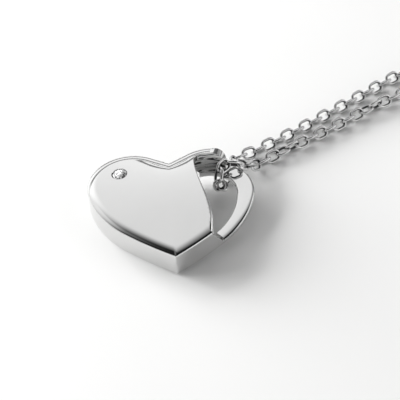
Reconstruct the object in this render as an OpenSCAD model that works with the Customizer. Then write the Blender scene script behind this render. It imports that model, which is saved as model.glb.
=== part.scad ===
// Heart pendant with an open right lobe, threaded on a fine cable chain, laid out on a table.
// Millimetres. Z is up; the heart's point faces -Y and its open lobe is on the +X side.
// The heart rests on its lower left edge and, through its open lobe, on the chain under it.

/* [Heart outline] */

// Height of the notch above the heart's own centre
notch_y = 4.06; // [3.5:0.02:4.5]
// Angle at which each side climbs away from the notch, in degrees
notch_rise = 29.3; // [20:0.1:40]
// Length of the straight run on each side of the notch
notch_run = 2.35; // [1.5:0.05:3]
// Radius of the lobes
lobe_r = 4.61; // [4:0.01:5.2]
// How far round each lobe's arc runs, in degrees
lobe_sweep = 130.6; // [120:0.1:140]
// Radius of the flanks below the lobes
flank_r = 11.16; // [9:0.02:14]
// How far round each flank's arc runs, in degrees
flank_sweep = 37.6; // [30:0.1:45]
// Radius of the last stretch down to the point
point_r = 41.2; // [30:0.1:60]

/* [Heart body] */

// Height of the side wall up to its crisp front edge
wall_h = 2.65; // [2:0.05:3.4]
// Thickness of the side wall
wall_t = 0.65; // [0.5:0.05:1]
// Thickness of the domed front plate
plate_t = 0.7; // [0.5:0.05:1]
// Width of the steeper rim inside the front edge
rim_w = 1; // [0.5:0.05:1.4]
// Rise of the front over that rim
rim_rise = 0.35; // [0.1:0.05:0.6]
// Further rise of the front from the rim to the middle
dome_rise = 0.45; // [0.2:0.05:0.8]
// Angle at which the heart leans on the chain under it, in degrees
lean = 5.5; // [0:0.1:8]
// Direction that is lifted by the lean, in degrees from +X
lean_dir = 36.6; // [0:0.1:90]

/* [Open lobe] */

// Where the cut through the front starts, beside the notch
cut_top_x = 2.72; // [2.4:0.02:3.2]
// Where the cut ends, beside the lower wall
cut_low_x = 4.22; // [3.8:0.02:4.6]
// Thickness left of the wall behind the open lobe
lobe_wall = 0.6; // [0.45:0.05:0.9]
// Height of the thin band that closes the open lobe
band_h = 0.62; // [0.5:0.02:0.9]
// Width of the band at its lower end
band_low_w = 1.3; // [1:0.05:1.5]
// Width of the band at the upper right
band_high_w = 1.88; // [1.5:0.02:2.1]

/* [Stone] */

// Diameter of the stone's girdle
stone_d = 1.6; // [1.2:0.05:1.8]
// Gap between the stone and its seat
seat_gap = 0.06; // [0.05:0.01:0.1]

/* [Chain] */

// Length of a link over its ends
link_l = 2.04; // [1.95:0.01:2.1]
// Width of a link over its sides
link_w = 1.5; // [1.4:0.01:1.6]
// Thickness of the link wire
wire_d = 0.22; // [0.2:0.01:0.26]
// Distance from one link to the next
pitch = 1.34; // [1.3:0.01:1.4]
// Diameter of the plain run that stands for the rest of the chain
run_d = 1.16; // [1:0.02:1.3]
// Radius of the loop in which the rest of the chain lies
loop_r = 45; // [35:1:60]

/* [Clasp] */

// Radius of the clasp's ring, to the middle of its wire
clasp_r = 2.6; // [2:0.1:3.5]
// Thickness of the clasp's wire
clasp_wire = 0.76; // [0.7:0.02:0.8]
// Radius of the clasp's small eye, to the middle of its wire
eye_r = 0.95; // [0.9:0.05:1.2]
// Thickness of the eye's wire
eye_wire = 0.6; // [0.5:0.05:0.65]

/* [Hidden] */

// Steps on the lobe, flank and point arcs of one half of the outline
lobe_n = 16;
flank_n = 8;
point_n = 5;
half_n = 1 + lobe_n + flank_n + point_n;
full_n = 2 * half_n;

// The necklace is laid out from the heart's own centre, then moved so that the origin is
// in the middle of the whole
whole_c = [70.73, 54.05];
module placed() translate([-whole_c[0], -whole_c[1], 0]) children();

// Headings along the outline and the centres of its arcs
flank_start = notch_rise - lobe_sweep;
point_start = flank_start - flank_sweep;
function outward(a) = [-sin(a), cos(a)];
lobe_c = [0, notch_y] + notch_run * [cos(notch_rise), sin(notch_rise)]
         - lobe_r * outward(notch_rise);
flank_c = lobe_c + (lobe_r - flank_r) * outward(flank_start);
point_c = flank_c + (flank_r - point_r) * outward(point_start);
function point_end(w) = -180 - asin(point_c[0] / (point_r - w));

// Point i of the right half of the outline, moved in by w
function side_pt(i, w) =
    i == 0 ? [0, notch_y - w / cos(notch_rise)] :
    i <= 1 + lobe_n ?
        lobe_c + (lobe_r - w) * outward(notch_rise - lobe_sweep * (i - 1) / lobe_n) :
    i <= 1 + lobe_n + flank_n ?
        flank_c + (flank_r - w) * outward(flank_start - flank_sweep * (i - 1 - lobe_n) / flank_n) :
    point_c + (point_r - w) * outward(point_start
        + (point_end(w) - point_start) * (i - 1 - lobe_n - flank_n) / point_n);

function outline(w) = concat([for (i = [0 : half_n]) side_pt(i, w)],
    [for (i = [half_n - 1 : -1 : 1]) [-side_pt(i, w)[0], side_pt(i, w)[1]]]);
function ring(w, z) = [for (p = outline(w)) [p[0], p[1], z]];

// Rings of the dome: the rim's inner ring drawn in towards the middle of the front, its
// shape passing from the heart's to a circle's
dome_c = [0, -0.6];
round_r = 6.2;
function dome_pt(p, s) = let (d = p - dome_c, share = s * sqrt(s))
    dome_c + s * (share * d + (1 - share) * round_r * d / norm(d));
function dome_ring(s, z) = [for (p = outline(rim_w)) let (q = dome_pt(p, s)) [q[0], q[1], z]];
rim_top = wall_h + rim_rise;
function dome_z(s) = rim_top + dome_rise * (1 - s * s);
// The rim is steep outside and runs into the dome at the dome's own slope
rim_end = 0.138;
function rim_z(f) = wall_h + (2 * rim_rise - rim_end) * f - (rim_rise - rim_end) * f * f;

// Faces of a closed skin through rings of n points, between two end points
function skin_faces(rings, n) = concat(
    [for (i = [0 : n - 1]) [0, 1 + (i + 1) % n, 1 + i]],
    [for (j = [0 : rings - 2]) for (i = [0 : n - 1]) each [
        [1 + j * n + i, 1 + j * n + (i + 1) % n, 1 + (j + 1) * n + (i + 1) % n],
        [1 + j * n + i, 1 + (j + 1) * n + (i + 1) % n, 1 + (j + 1) * n + i]]],
    [for (i = [0 : n - 1]) [1 + (rings - 1) * n + i, 1 + (rings - 1) * n + (i + 1) % n, 1 + rings * n]]);

function flat(rings) = [for (r = rings) each r];

// Hollow cap, open underneath: the skin runs down the inside and up the outside
module cap() {
    inner = [for (s = [0.45, 0.8]) dome_ring(s, dome_z(s) - plate_t)];
    walls = [ring(1.4, wall_h - 0.28), ring(wall_t, wall_h - 0.5), ring(wall_t, 0),
             ring(0, 0), ring(0, wall_h)];
    rim = [for (f = [0.3, 0.62, 1]) ring(f * rim_w, rim_z(f))];
    dome = [for (s = [0.85, 0.65, 0.45, 0.22]) dome_ring(s, dome_z(s))];
    rings = concat(inner, walls, rim, dome);
    polyhedron(points = concat([[dome_c[0], dome_c[1], dome_z(0) - plate_t]], flat(rings),
                               [[dome_c[0], dome_c[1], dome_z(0)]]),
               faces = skin_faces(len(rings), full_n));
}

// The cut through the front follows an easy S from beside the notch to the lower wall
cut_top_y = 3.74;
cut_low_y = -5;
corner_r = 1.42;
function cut_pt(t) = [cut_top_x + (cut_low_x - cut_top_x) * (1 - cos(180 * t)) / 2,
                      cut_top_y + (cut_low_y - cut_top_y) * t];
corner_c = [cut_top_x + corner_r, cut_top_y];
low_corner_y = point_c[1]
    - sqrt(pow(point_r - lobe_wall, 2) - pow(cut_low_x - point_c[0], 2));

// Everything taken out between the cut, the lobe's wall and the band; along the wall its
// points lie between those of the band, so that no edge of one meets an edge of the other
module opening() {
    translate([0, 0, -1]) linear_extrude(7) polygon(concat(
        [[cut_low_x, low_corner_y]],
        [for (k = [12 : -1 : 0]) cut_pt(k / 12)],
        [for (a = [160 : -20 : 100]) corner_c + corner_r * [cos(a), sin(a)]],
        [for (i = [5.5 : 25.5]) side_pt(i, lobe_wall)]));
}

// Where the two ends of the side wall stop at height z
end_low = 0.5;
function upper_end_x(z) = 5 + 1.25 * sqrt(max(0, 1 - pow((z - end_low) / 2.35, 2)));
function lower_end_x(z) = 3.85 + 2.26 * pow(max(0, wall_h - z) / (wall_h - end_low), 1.5);
end_levels = [end_low, 0.9, 1.4, 1.9, 2.3, 2.6, 2.78, 2.85, 5];

// Everything taken off the side wall beyond its two ends, down to the band
module wall_gap() {
    loops = [for (z = end_levels) let (u = upper_end_x(z), l = lower_end_x(z)) [
        [u - 0.46, 3.2, z], [u + 0.32, 6.8, z], [12, 6.8, z], [12, -9, z],
        [l, -8, z], [cut_low_x + 0.04, cut_low_y + 0.5, z]]];
    n = 6;
    m = len(loops);
    polyhedron(points = flat(loops), faces = concat(
        [[for (i = [n - 1 : -1 : 0]) i]],
        [for (j = [0 : m - 2]) for (i = [0 : n - 1]) each [
            [j * n + i, j * n + (i + 1) % n, (j + 1) * n + (i + 1) % n],
            [j * n + i, (j + 1) * n + (i + 1) % n, (j + 1) * n + i]]],
        [[for (i = [0 : n - 1]) (m - 1) * n + i]]));
}

// Width of the band at outline point i: widest at the upper right
function band_w(i) = i < 12 ? band_high_w - 0.45 * pow((12 - i) / 11, 2)
                            : band_low_w + (band_high_w - band_low_w) * (1 + cos(180 * (i - 12) / 13)) / 2;
band_in = 0.03;

// Thin band on the line of the outline, its top slightly rounded; it ends between points
// of the outline, so that neither end face meets an edge of the wall
module band() {
    stations = concat([2.4], [for (i = [3 : 24]) i], [24.8]);
    sections = [for (i = stations) let (w = band_w(i)) [for (q = [
        [band_in, band_in], [band_in, 0.72 * band_h], [0.22, 0.92 * band_h], [0.5 * w, band_h],
        [w - 0.14, 0.96 * band_h], [w, 0.84 * band_h], [w, band_in]])
        let (p = side_pt(i, q[0])) [p[0], p[1], q[1]]]];
    n = 7;
    m = len(sections);
    polyhedron(points = flat(sections), faces = concat(
        [[for (i = [0 : n - 1]) i]],
        [for (j = [0 : m - 2]) for (i = [0 : n - 1]) each [
            [j * n + i, (j + 1) * n + i, (j + 1) * n + (i + 1) % n],
            [j * n + i, (j + 1) * n + (i + 1) % n, j * n + (i + 1) % n]]],
        [[for (i = [n - 1 : -1 : 0]) (m - 1) * n + i]]));
}

// Puts the heart's parts where the heart lies: leaning, its lowest edge on the table
lean_n = [cos(lean_dir), sin(lean_dir)];
heart_z = sin(lean) * max([for (p = outline(0)) -(p[0] * lean_n[0] + p[1] * lean_n[1])]);
module laid() {
    placed() translate([0, 0, heart_z])
        rotate(a = lean, v = [lean_n[1], -lean_n[0], 0]) children();
}

stone_at = [-5.34, 2.62];
girdle_z = 3.07;
stone_r = stone_d / 2;

module seat() {
    translate([stone_at[0], stone_at[1], 0]) {
        translate([0, 0, girdle_z - 0.08]) cylinder(h = 2, r = stone_r + seat_gap, $fn = 32);
        translate([0, 0, girdle_z - 0.88])
            cylinder(h = 0.8, r1 = 0.5 * stone_r, r2 = stone_r + seat_gap, $fn = 32);
    }
}

module heart() color([0.84, 0.85, 0.87]) laid() union() {
    difference() {
        cap();
        opening();
        wall_gap();
        seat();
    }
    band();
}

// Round brilliant: an eight-sided table, crown facets to a sixteen-sided girdle, and a point
module stone() color([0.93, 0.96, 1]) laid() translate([stone_at[0], stone_at[1], girdle_z]) {
    table = [for (k = [0 : 7]) [0.56 * stone_r * cos(45 * k), 0.56 * stone_r * sin(45 * k), 0.22]];
    girdle = [for (z = [0.02, -0.03]) for (k = [0 : 15])
        [stone_r * cos(22.5 * k), stone_r * sin(22.5 * k), z]];
    t = 0;
    g = 8;
    b = 24;
    polyhedron(points = concat(table, girdle, [[0, 0, -0.66]]), faces = concat(
        [[for (k = [7 : -1 : 0]) t + k]],
        [for (k = [0 : 7]) each [
            [t + k, t + (k + 1) % 8, g + 2 * k + 1],
            [t + k, g + 2 * k + 1, g + 2 * k],
            [t + (k + 1) % 8, g + (2 * k + 2) % 16, g + 2 * k + 1]]],
        [for (k = [0 : 15]) each [
            [g + k, g + (k + 1) % 16, b + (k + 1) % 16],
            [g + k, b + (k + 1) % 16, b + k],
            [b + k, b + (k + 1) % 16, 40]]]));
}

// Route of the shown stretch of chain: in over the band, down through the open lobe and
// out again under it
chain_z = 0.58;
front_route = [
    [28.9, 19.1, chain_z], [26.2, 17.4, 0.6], [23.9, 15.96, 0.74], [21.6, 14.5, 0.62],
    [19.3, 12.96, chain_z], [16.2, 10.9, 0.62], [13.9, 9.4, 0.74], [11.6, 7.96, 0.62],
    [9.58, 6.5, 0.62], [8.64, 5.4, 1.56], [7.52, 4.36, 2.66], [5.68, 3.96, 3.22],
    [5, 2.36, 2.66], [5.26, 2.34, 1.1], [5.78, 3.74, 0.68], [6.92, 5.6, 0.8],
    [7.3, 7.52, 0.9], [9, 8.5, 0.6], [10.9, 9.76, chain_z], [13.1, 11.16, chain_z],
    [17.56, 14.3, chain_z], [22, 17.56, chain_z], [26.4, 20.8, chain_z], [30, 23.4, chain_z]];

// Smooth curve through a route, in steps
function between(a, b, c, d, t) = 0.5 * (2 * b + (c - a) * t + (2 * a - 5 * b + 4 * c - d) * t * t
    + (3 * b - a - 3 * c + d) * t * t * t);
function curve(r, steps) = let (m = len(r), e = concat([2 * r[0] - r[1]], r, [2 * r[m - 1] - r[m - 2]]))
    concat([for (i = [1 : m - 1]) for (k = [0 : steps - 1])
        between(e[i - 1], e[i], e[i + 1], e[i + 2], k / steps)], [r[m - 1]]);

// Points a straight step apart along a curve
function reach(a, b, p, step) = let (u = b - a, v = a - p, uu = u * u, uv = u * v)
    a + u * (-uv + sqrt(uv * uv - uu * (v * v - step * step))) / uu;
function walk(c, i, p, step) = i >= len(c) - 1 ? [] :
    norm(c[i + 1] - p) < step ? walk(c, i + 1, p, step) :
    let (q = reach(c[i], c[i + 1], p, step)) concat([q], walk(c, i, q, step));
function joints(r, step) = let (c = curve(r, 12)) concat([c[0]], walk(c, 0, c[0], step));

// How far link k of the shown stretch is rolled about its own length, in degrees: each lies
// square to its neighbours, turns over in three steps at two places, and follows the band's
// edge where the chain bends most
bend_rolls = [43, -45, 64, -46, 36, -71, 17, 106, -20];
function link_roll(k) = k < 3 ? (k % 2 == 1 ? 45 : -45)
    : k < 7 ? 45 - 60 * (k - 3)
    : k < 13 ? (k % 2 == 0 ? 45 : -45)
    : k < 16 ? 45 - 60 * (k - 12)
    : k == 16 ? -45
    : k < 26 ? bend_rolls[k - 17]
    : k % 2 == 0 ? 45 : -45;

strand_side = [-sin(35), cos(35), 0];
function unit(v) = v / norm(v);

// Stadium-shaped wire link between two joints
link_sides = 10;
wire_sides = 5;
module link(a, b, roll) {
    s = unit(b - a);
    u = unit(strand_side - (strand_side * s) * s);
    n = cos(roll) * u + sin(roll) * cross(s, u);
    t = cross(n, s);
    r = (link_w - wire_d) / 2;
    h = (link_l - link_w) / 2;
    m = link_sides;
    w = wire_sides;
    points = [for (i = [0 : m - 1]) let (g = 360 * i / m,
            o = cos(g) * s + sin(g) * t,
            p = (a + b) / 2 + r * o + h * sign(cos(g)) * s)
        for (j = [0 : w - 1]) let (q = 360 * j / w)
            p + wire_d / 2 * (cos(q) * o + sin(q) * n)];
    polyhedron(points = points, faces = [for (i = [0 : m - 1]) for (j = [0 : w - 1]) each [
        [i * w + j, (i + 1) % m * w + (j + 1) % w, (i + 1) % m * w + j],
        [i * w + j, i * w + (j + 1) % w, (i + 1) % m * w + (j + 1) % w]]]);
}

module chain_front() color([0.78, 0.79, 0.81]) placed() {
    j = joints(front_route, pitch);
    for (k = [0 : len(j) - 2]) link(j[k], j[k + 1], link_roll(k));
}

// Middle of the clasp's eye from the middle of its ring, and the height of both: the links
// that hold the clasp pass under its wire
eye_at = 3.4;
clasp_z = 0.76;

// The rest of the chain lies in a plain loop: each strand eases away from the other on an
// arc of its own that meets one large circle, and the clasp lies on the circle's far side
loop_dir = 34.2;
loop_c = [105, 72.5];
front_joints = joints(front_route, pitch);
last_joint = len(front_joints) - 1;
function flat_dir(v) = unit([v[0], v[1]]);
ends = [for (q = [[0, 1, -1], [last_joint, last_joint - 1, 1]])
    let (p = front_joints[q[0]], d = flat_dir(p - front_joints[q[1]]))
    [[p[0], p[1]], d, q[2] * [-d[1], d[0]]]];
function ease_r(e) = let (d = loop_c - e[0])
    (d * d - loop_r * loop_r) / (2 * (loop_r + d * e[2]));
function heading(v) = atan2(v[1], v[0]);

// Route of one strand from its end of the shown stretch to the clasp: a list of points
ease_steps = 14;
circle_steps = 25;
end_gap = 0.45;
function strand(e, side, stop) = let (
    r = ease_r(e),
    c = e[0] + r * e[2],
    meet = loop_c + loop_r * unit(c - loop_c),
    a0 = heading(e[0] - c),
    a1 = heading(meet - c),
    turn = side * ((side * (a1 - a0) % 360 + 360) % 360),
    b0 = heading(meet - loop_c),
    b1 = loop_dir + stop,
    swing = -side * ((-side * (b1 - b0) % 360 + 360) % 360))
    concat(
        [[e[0][0] + end_gap * e[1][0], e[0][1] + end_gap * e[1][1], chain_z]],
        [for (k = [1 : ease_steps]) let (a = a0 + turn * k / ease_steps)
            [c[0] + r * cos(a), c[1] + r * sin(a), chain_z]],
        [for (k = [1 : circle_steps]) let (a = b0 + swing * k / circle_steps)
            [loop_c[0] + loop_r * cos(a), loop_c[1] + loop_r * sin(a), chain_z]]);

// Round run along a route of points
run_sides = 8;
module run(route) {
    m = len(route);
    n = run_sides;
    dirs = [for (i = [0 : m - 1]) unit(route[min(i + 1, m - 1)] - route[max(i - 1, 0)])];
    rings = [for (i = [0 : m - 1]) let (t = unit(cross([0, 0, 1], dirs[i]))) [for (k = [0 : n - 1])
        route[i] + run_d / 2 * (cos(360 * k / n) * t + sin(360 * k / n) * cross(dirs[i], t))]];
    polyhedron(points = flat(rings), faces = concat(
        [[for (k = [0 : n - 1]) k]],
        [for (i = [0 : m - 2]) for (k = [0 : n - 1]) each [
            [i * n + k, (i + 1) * n + k, (i + 1) * n + (k + 1) % n],
            [i * n + k, (i + 1) * n + (k + 1) % n, i * n + (k + 1) % n]]],
        [[for (k = [n - 1 : -1 : 0]) (m - 1) * n + k]]));
}

clasp_span = clasp_r + eye_at + eye_r;
clasp_stop = (clasp_span / 2 + clasp_wire / 2 + 0.15) / loop_r * 180 / PI;
module chain_back() color([0.78, 0.79, 0.81]) placed() {
    run(strand(ends[0], -1, -clasp_stop));
    run(strand(ends[1], 1, clasp_stop));
}

// Closed ring with a small eye on one side and the nub of its lever on the rim
module clasp() color([0.8, 0.81, 0.83]) placed()
    translate([loop_c[0] + loop_r * cos(loop_dir), loop_c[1] + loop_r * sin(loop_dir), clasp_z])
        rotate(loop_dir - 90) translate([clasp_span / 2 - clasp_r, 0, 0]) {
            rotate_extrude($fn = 48) translate([clasp_r, 0]) circle(d = clasp_wire, $fn = 20);
            translate([-eye_at, 0, 0]) rotate_extrude($fn = 32)
                translate([eye_r, 0]) circle(d = eye_wire, $fn = 16);
            rotate(60) translate([clasp_r, 0, 0]) rotate([0, 90, 0])
                cylinder(h = 1, d = 0.5, $fn = 16);
        }

heart();
stone();
chain_front();
chain_back();
clasp();
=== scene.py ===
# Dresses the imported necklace: polished heart, cut stone, cable links and clasp,
# on a pale table under soft studio light
import math
import bpy
import bmesh
import numpy as np
from mathutils import Matrix, Vector
from mathutils.bvhtree import BVHTree


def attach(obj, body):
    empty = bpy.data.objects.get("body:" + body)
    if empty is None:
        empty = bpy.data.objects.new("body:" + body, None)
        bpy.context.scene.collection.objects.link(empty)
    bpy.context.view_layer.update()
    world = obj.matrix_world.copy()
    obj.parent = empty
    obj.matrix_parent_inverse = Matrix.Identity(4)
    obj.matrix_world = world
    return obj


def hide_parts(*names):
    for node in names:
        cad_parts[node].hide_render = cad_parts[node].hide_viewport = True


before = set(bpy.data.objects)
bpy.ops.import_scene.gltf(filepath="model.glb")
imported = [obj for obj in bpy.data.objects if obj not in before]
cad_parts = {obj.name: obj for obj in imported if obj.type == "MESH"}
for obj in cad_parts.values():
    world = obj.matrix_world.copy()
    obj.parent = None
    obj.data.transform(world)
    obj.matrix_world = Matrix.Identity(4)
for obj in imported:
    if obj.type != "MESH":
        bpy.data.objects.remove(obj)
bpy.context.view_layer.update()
scene = bpy.context.scene

# Lengths below are in millimetres in the heart's own layout; TO_ROW takes them to metres in
# the row's frame
MM = 0.001
HOME = Vector((-70.73, -54.05, 0))
TO_ROW = Matrix.Scale(MM, 4) @ Matrix.Translation(HOME)

# Outline of the heart, as in the part's source: a straight run from the notch, then arcs for
# the lobe, the flank and the point
NOTCH_Y, NOTCH_RISE, NOTCH_RUN = 4.06, math.radians(29.3), 2.35
LOBE_R, LOBE_SWEEP = 4.61, math.radians(130.6)
FLANK_R, FLANK_SWEEP = 11.16, math.radians(37.6)
POINT_R = 41.2
RUN_STEPS, LOBE_STEPS, FLANK_STEPS, POINT_STEPS = 8, 56, 28, 24
OUTLINE_POINTS = 2 * (RUN_STEPS + LOBE_STEPS + FLANK_STEPS + POINT_STEPS)

# Wall, rim and dome, the lean on the chain, the opening's two ends, the band and the stone
WALL_H, WALL_T, PLATE_T = 2.65, 0.65, 0.7
RIM_W, RIM_RISE, RIM_END, DOME_RISE = 1.0, 0.35, 0.138, 0.45
LEAN, LEAN_DIR = math.radians(5.5), math.radians(36.6)
CUT_TOP, CUT_LOW = (2.72, 3.74), (4.22, -5.0)
LOBE_WALL, BAND_H, BAND_LOW_W, BAND_HIGH_W = 0.6, 0.62, 1.3, 1.88
STONE_AT, STONE_R, GIRDLE_Z = (-5.34, 2.62), 0.8, 3.07


def share(value, start, span):
    """0 up to start, 1 from span beyond it, even in between."""
    return min(1, max(0, (value - start) / span))


def unit(vector):
    return vector / np.linalg.norm(vector)


def outward(angle):
    """Unit vector in plan, turned anticlockwise from +Y."""
    return np.array((-math.sin(angle), math.cos(angle)))


FLANK_START = NOTCH_RISE - LOBE_SWEEP
POINT_START = FLANK_START - FLANK_SWEEP
LOBE_C = (np.array((0, NOTCH_Y)) + NOTCH_RUN * np.array((math.cos(NOTCH_RISE), math.sin(NOTCH_RISE)))
          - LOBE_R * outward(NOTCH_RISE))
FLANK_C = LOBE_C + (LOBE_R - FLANK_R) * outward(FLANK_START)
POINT_C = FLANK_C + (FLANK_R - POINT_R) * outward(POINT_START)


def side_point(run, inset):
    """Point of the right half of the outline, moved in by inset; run goes from 0 at the
    notch to 1, 2, 3 and 4 at the ends of the straight, the lobe, the flank and the point."""
    if run <= 1:
        start = np.array((0, NOTCH_Y - inset / math.cos(NOTCH_RISE)))
        end = LOBE_C + (LOBE_R - inset) * outward(NOTCH_RISE)
        return start + (end - start) * run
    if run <= 2:
        return LOBE_C + (LOBE_R - inset) * outward(NOTCH_RISE - LOBE_SWEEP * (run - 1))
    if run <= 3:
        return FLANK_C + (FLANK_R - inset) * outward(FLANK_START - FLANK_SWEEP * (run - 2))
    tip = -math.pi - math.asin(POINT_C[0] / (POINT_R - inset))
    return POINT_C + (POINT_R - inset) * outward(POINT_START + (tip - POINT_START) * (run - 3))


RUNS = [stretch + step / steps
        for stretch, steps in enumerate((RUN_STEPS, LOBE_STEPS, FLANK_STEPS, POINT_STEPS))
        for step in range(steps)] + [4]


def outline(inset):
    """Whole outline in plan, from the notch over the right half and back over the left."""
    right = [side_point(run, inset) for run in RUNS]
    left = [np.array((-x, y)) for x, y in right[-2:0:-1]]
    return np.array(right + left)


def ring(inset, height):
    """Outline moved in by inset, at a height."""
    return np.c_[outline(inset), np.full(OUTLINE_POINTS, height)]


# Rings of the dome are heart-shaped at the rim and turn into circles about DOME_C inside
DOME_C, CIRCLE_R, TURN_POWER = (0.0, -0.6), 6.2, 1.5
AT_RIM = outline(RIM_W) - DOME_C
AS_CIRCLE = CIRCLE_R * AT_RIM / np.linalg.norm(AT_RIM, axis=1)[:, None]
RIM_TOP = WALL_H + RIM_RISE


def dome_ring(out, drop=0.0):
    """Ring of the dome at share out of the way to the rim, lowered by drop."""
    heart_share = out ** TURN_POWER
    plan = np.array(DOME_C) + out * (heart_share * AT_RIM + (1 - heart_share) * AS_CIRCLE)
    return np.c_[plan, np.full(OUTLINE_POINTS, RIM_TOP + DOME_RISE * (1 - out * out) - drop)]


# Objects and lofts
def to_object(name, bm):
    """Object from a bmesh, which it frees."""
    mesh = bpy.data.meshes.new(name)
    bm.to_mesh(mesh)
    bm.free()
    obj = bpy.data.objects.new(name, mesh)
    scene.collection.objects.link(obj)
    return obj


def plain_object(name, bm):
    """Object in layout millimetres, used only to build another."""
    bmesh.ops.recalc_face_normals(bm, faces=bm.faces)
    return to_object(name, bm)


def smooth_object(name, bm, place, sharp):
    """Object in the row's frame from a bmesh in layout millimetres; its faces are smooth,
    and edges that turn by more than sharp stay sharp."""
    bmesh.ops.recalc_face_normals(bm, faces=bm.faces)
    bm.transform(TO_ROW @ place)
    obj = to_object(name, bm)
    obj.data.shade_smooth()
    obj.data.set_sharp_from_angle(angle=sharp)
    return obj


def first_ring(bm, points):
    """Closed ring of edges through points."""
    verts = [bm.verts.new(point) for point in points]
    return [bm.edges.new((verts[i], verts[(i + 1) % len(verts)])) for i in range(len(verts))]


def next_ring(bm, edges, points):
    """Extrudes a closed ring of edges and puts the new ring's vertices on points."""
    vert = edges[0].verts[0] if edges[0].verts[0] in edges[-1].verts else edges[0].verts[1]
    old = []
    for edge in edges:
        old.append(vert)
        vert = edge.other_vert(vert)
    grown = bmesh.ops.extrude_edge_only(bm, edges=edges)["geom"]
    fresh = {item for item in grown if isinstance(item, bmesh.types.BMVert)}
    new = []
    for vert, point in zip(old, points):
        mate = next(edge.other_vert(vert) for edge in vert.link_edges if edge.other_vert(vert) in fresh)
        mate.co = point
        new.append(mate)
    return [bm.edges.get((new[i], new[(i + 1) % len(new)])) for i in range(len(new))]


def lofted(rings):
    """Closed bmesh through rings of equal numbers of points."""
    bm = bmesh.new()
    first = edges = first_ring(bm, rings[0])
    for points in rings[1:]:
        edges = next_ring(bm, edges, points)
    for end in (first, edges):
        bmesh.ops.contextual_create(bm, geom=end)
    return bm


# Heart. Its skin is given as pairs of inset and height; those of the lip count from the
# wall's top
HOLLOW_SHARES = (0.06, 0.3, 0.6, 0.85)
HOLLOW_SIDE = ((1.4, WALL_H - 0.28), (WALL_T, WALL_H - 0.5), (WALL_T, 0.05))
FOOT = ((WALL_T - 0.05, 0), (0.06, 0), (0.018, 0.018), (0, 0.06))
WALL_LEVELS = (0.5, 1.0, 1.5, 2.0, 2.4, WALL_H - 0.1)
LIP = ((0.006, -0.055), (0.022, -0.022), (0.045, 0.008), (0.075, 0.035))
RIM_FROM, RIM_STEPS = 0.09, 12
DOME_SHARES = np.r_[np.linspace(0.98, 0.9, 5), np.linspace(0.86, 0.06, 21)]


def heart_skin():
    """Skin of the whole heart before it is cut: inside, foot, wall, rim and dome."""
    rings = [dome_ring(out, PLATE_T) for out in HOLLOW_SHARES]
    rings += [ring(inset, height) for inset, height in HOLLOW_SIDE + FOOT]
    rings += [ring(0, height) for height in WALL_LEVELS]
    rings += [ring(inset, WALL_H + height) for inset, height in LIP]
    for step in range(1, RIM_STEPS + 1):
        out = RIM_FROM + (1 - RIM_FROM) * step / RIM_STEPS
        height = WALL_H + (2 * RIM_RISE - RIM_END) * out - (RIM_RISE - RIM_END) * out * out
        rings.append(ring(out * RIM_W, height))
    rings += [dome_ring(out) for out in DOME_SHARES]
    return lofted(rings)


def cut_away(obj, cutters):
    """Takes the cutters' volumes off an object and removes the cutters."""
    for cutter in cutters:
        cut = obj.modifiers.new("cut", "BOOLEAN")
        cut.operation, cut.solver, cut.object = "DIFFERENCE", "EXACT", cutter
    deps = bpy.context.evaluated_depsgraph_get()
    mesh = bpy.data.meshes.new_from_object(obj.evaluated_get(deps))
    obj.modifiers.clear()
    obj.data = mesh
    for cutter in cutters:
        bpy.data.objects.remove(cutter)


def path_normals(path):
    """Outward normals of a closed plan path."""
    ways = np.roll(path, -1, 0) - np.roll(path, 1, 0)
    ways /= np.linalg.norm(ways, axis=1)[:, None]
    normals = np.c_[ways[:, 1], -ways[:, 0]]
    x, y = path[:, 0], path[:, 1]
    area = 0.5 * (x * np.roll(y, -1) - np.roll(x, -1) * y).sum()
    return normals if area > 0 else -normals


# The opening's path runs up from the flank along the crease, round a small corner and down
# again inside the lobe's wall, which is thicker just past that corner. Where the opening
# comes through the front its edge is rounded over, more softly low down.
SOFT, SOFT_LOW, SOFT_FROM, SOFT_SPAN = 0.09, 0.3, 0.3, 0.5
LOW_SLANT, LOW_BEYOND, LOW_STEPS = 0.10, 0.9, 8
CREASE_STEPS, CORNER_R, CORNER_ANGLES = 48, 0.92, range(174, 96, -6)
LOBE_RUN, LOBE_RUN_STEPS = (1.17, 3.05), 70
THICKER, THICK_RUN, THICK_FADE = 0.55, 1.42, 0.3
CLOSE_X, CLOSE_Y, CLOSE_SOFT = 0.5, 0.2, 0.1

# Levels of its cutter, the angles of the rounded edge, and how far it flares above that
BELOW, FOOT_LEVEL, CLEAR, ABOVE = -1.0, 0.3, 2, 9
ROUND_ANGLES, FLARE, FLARE_RISE = (0, 18, 36, 54, 70), 1.1, 0.15


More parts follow.
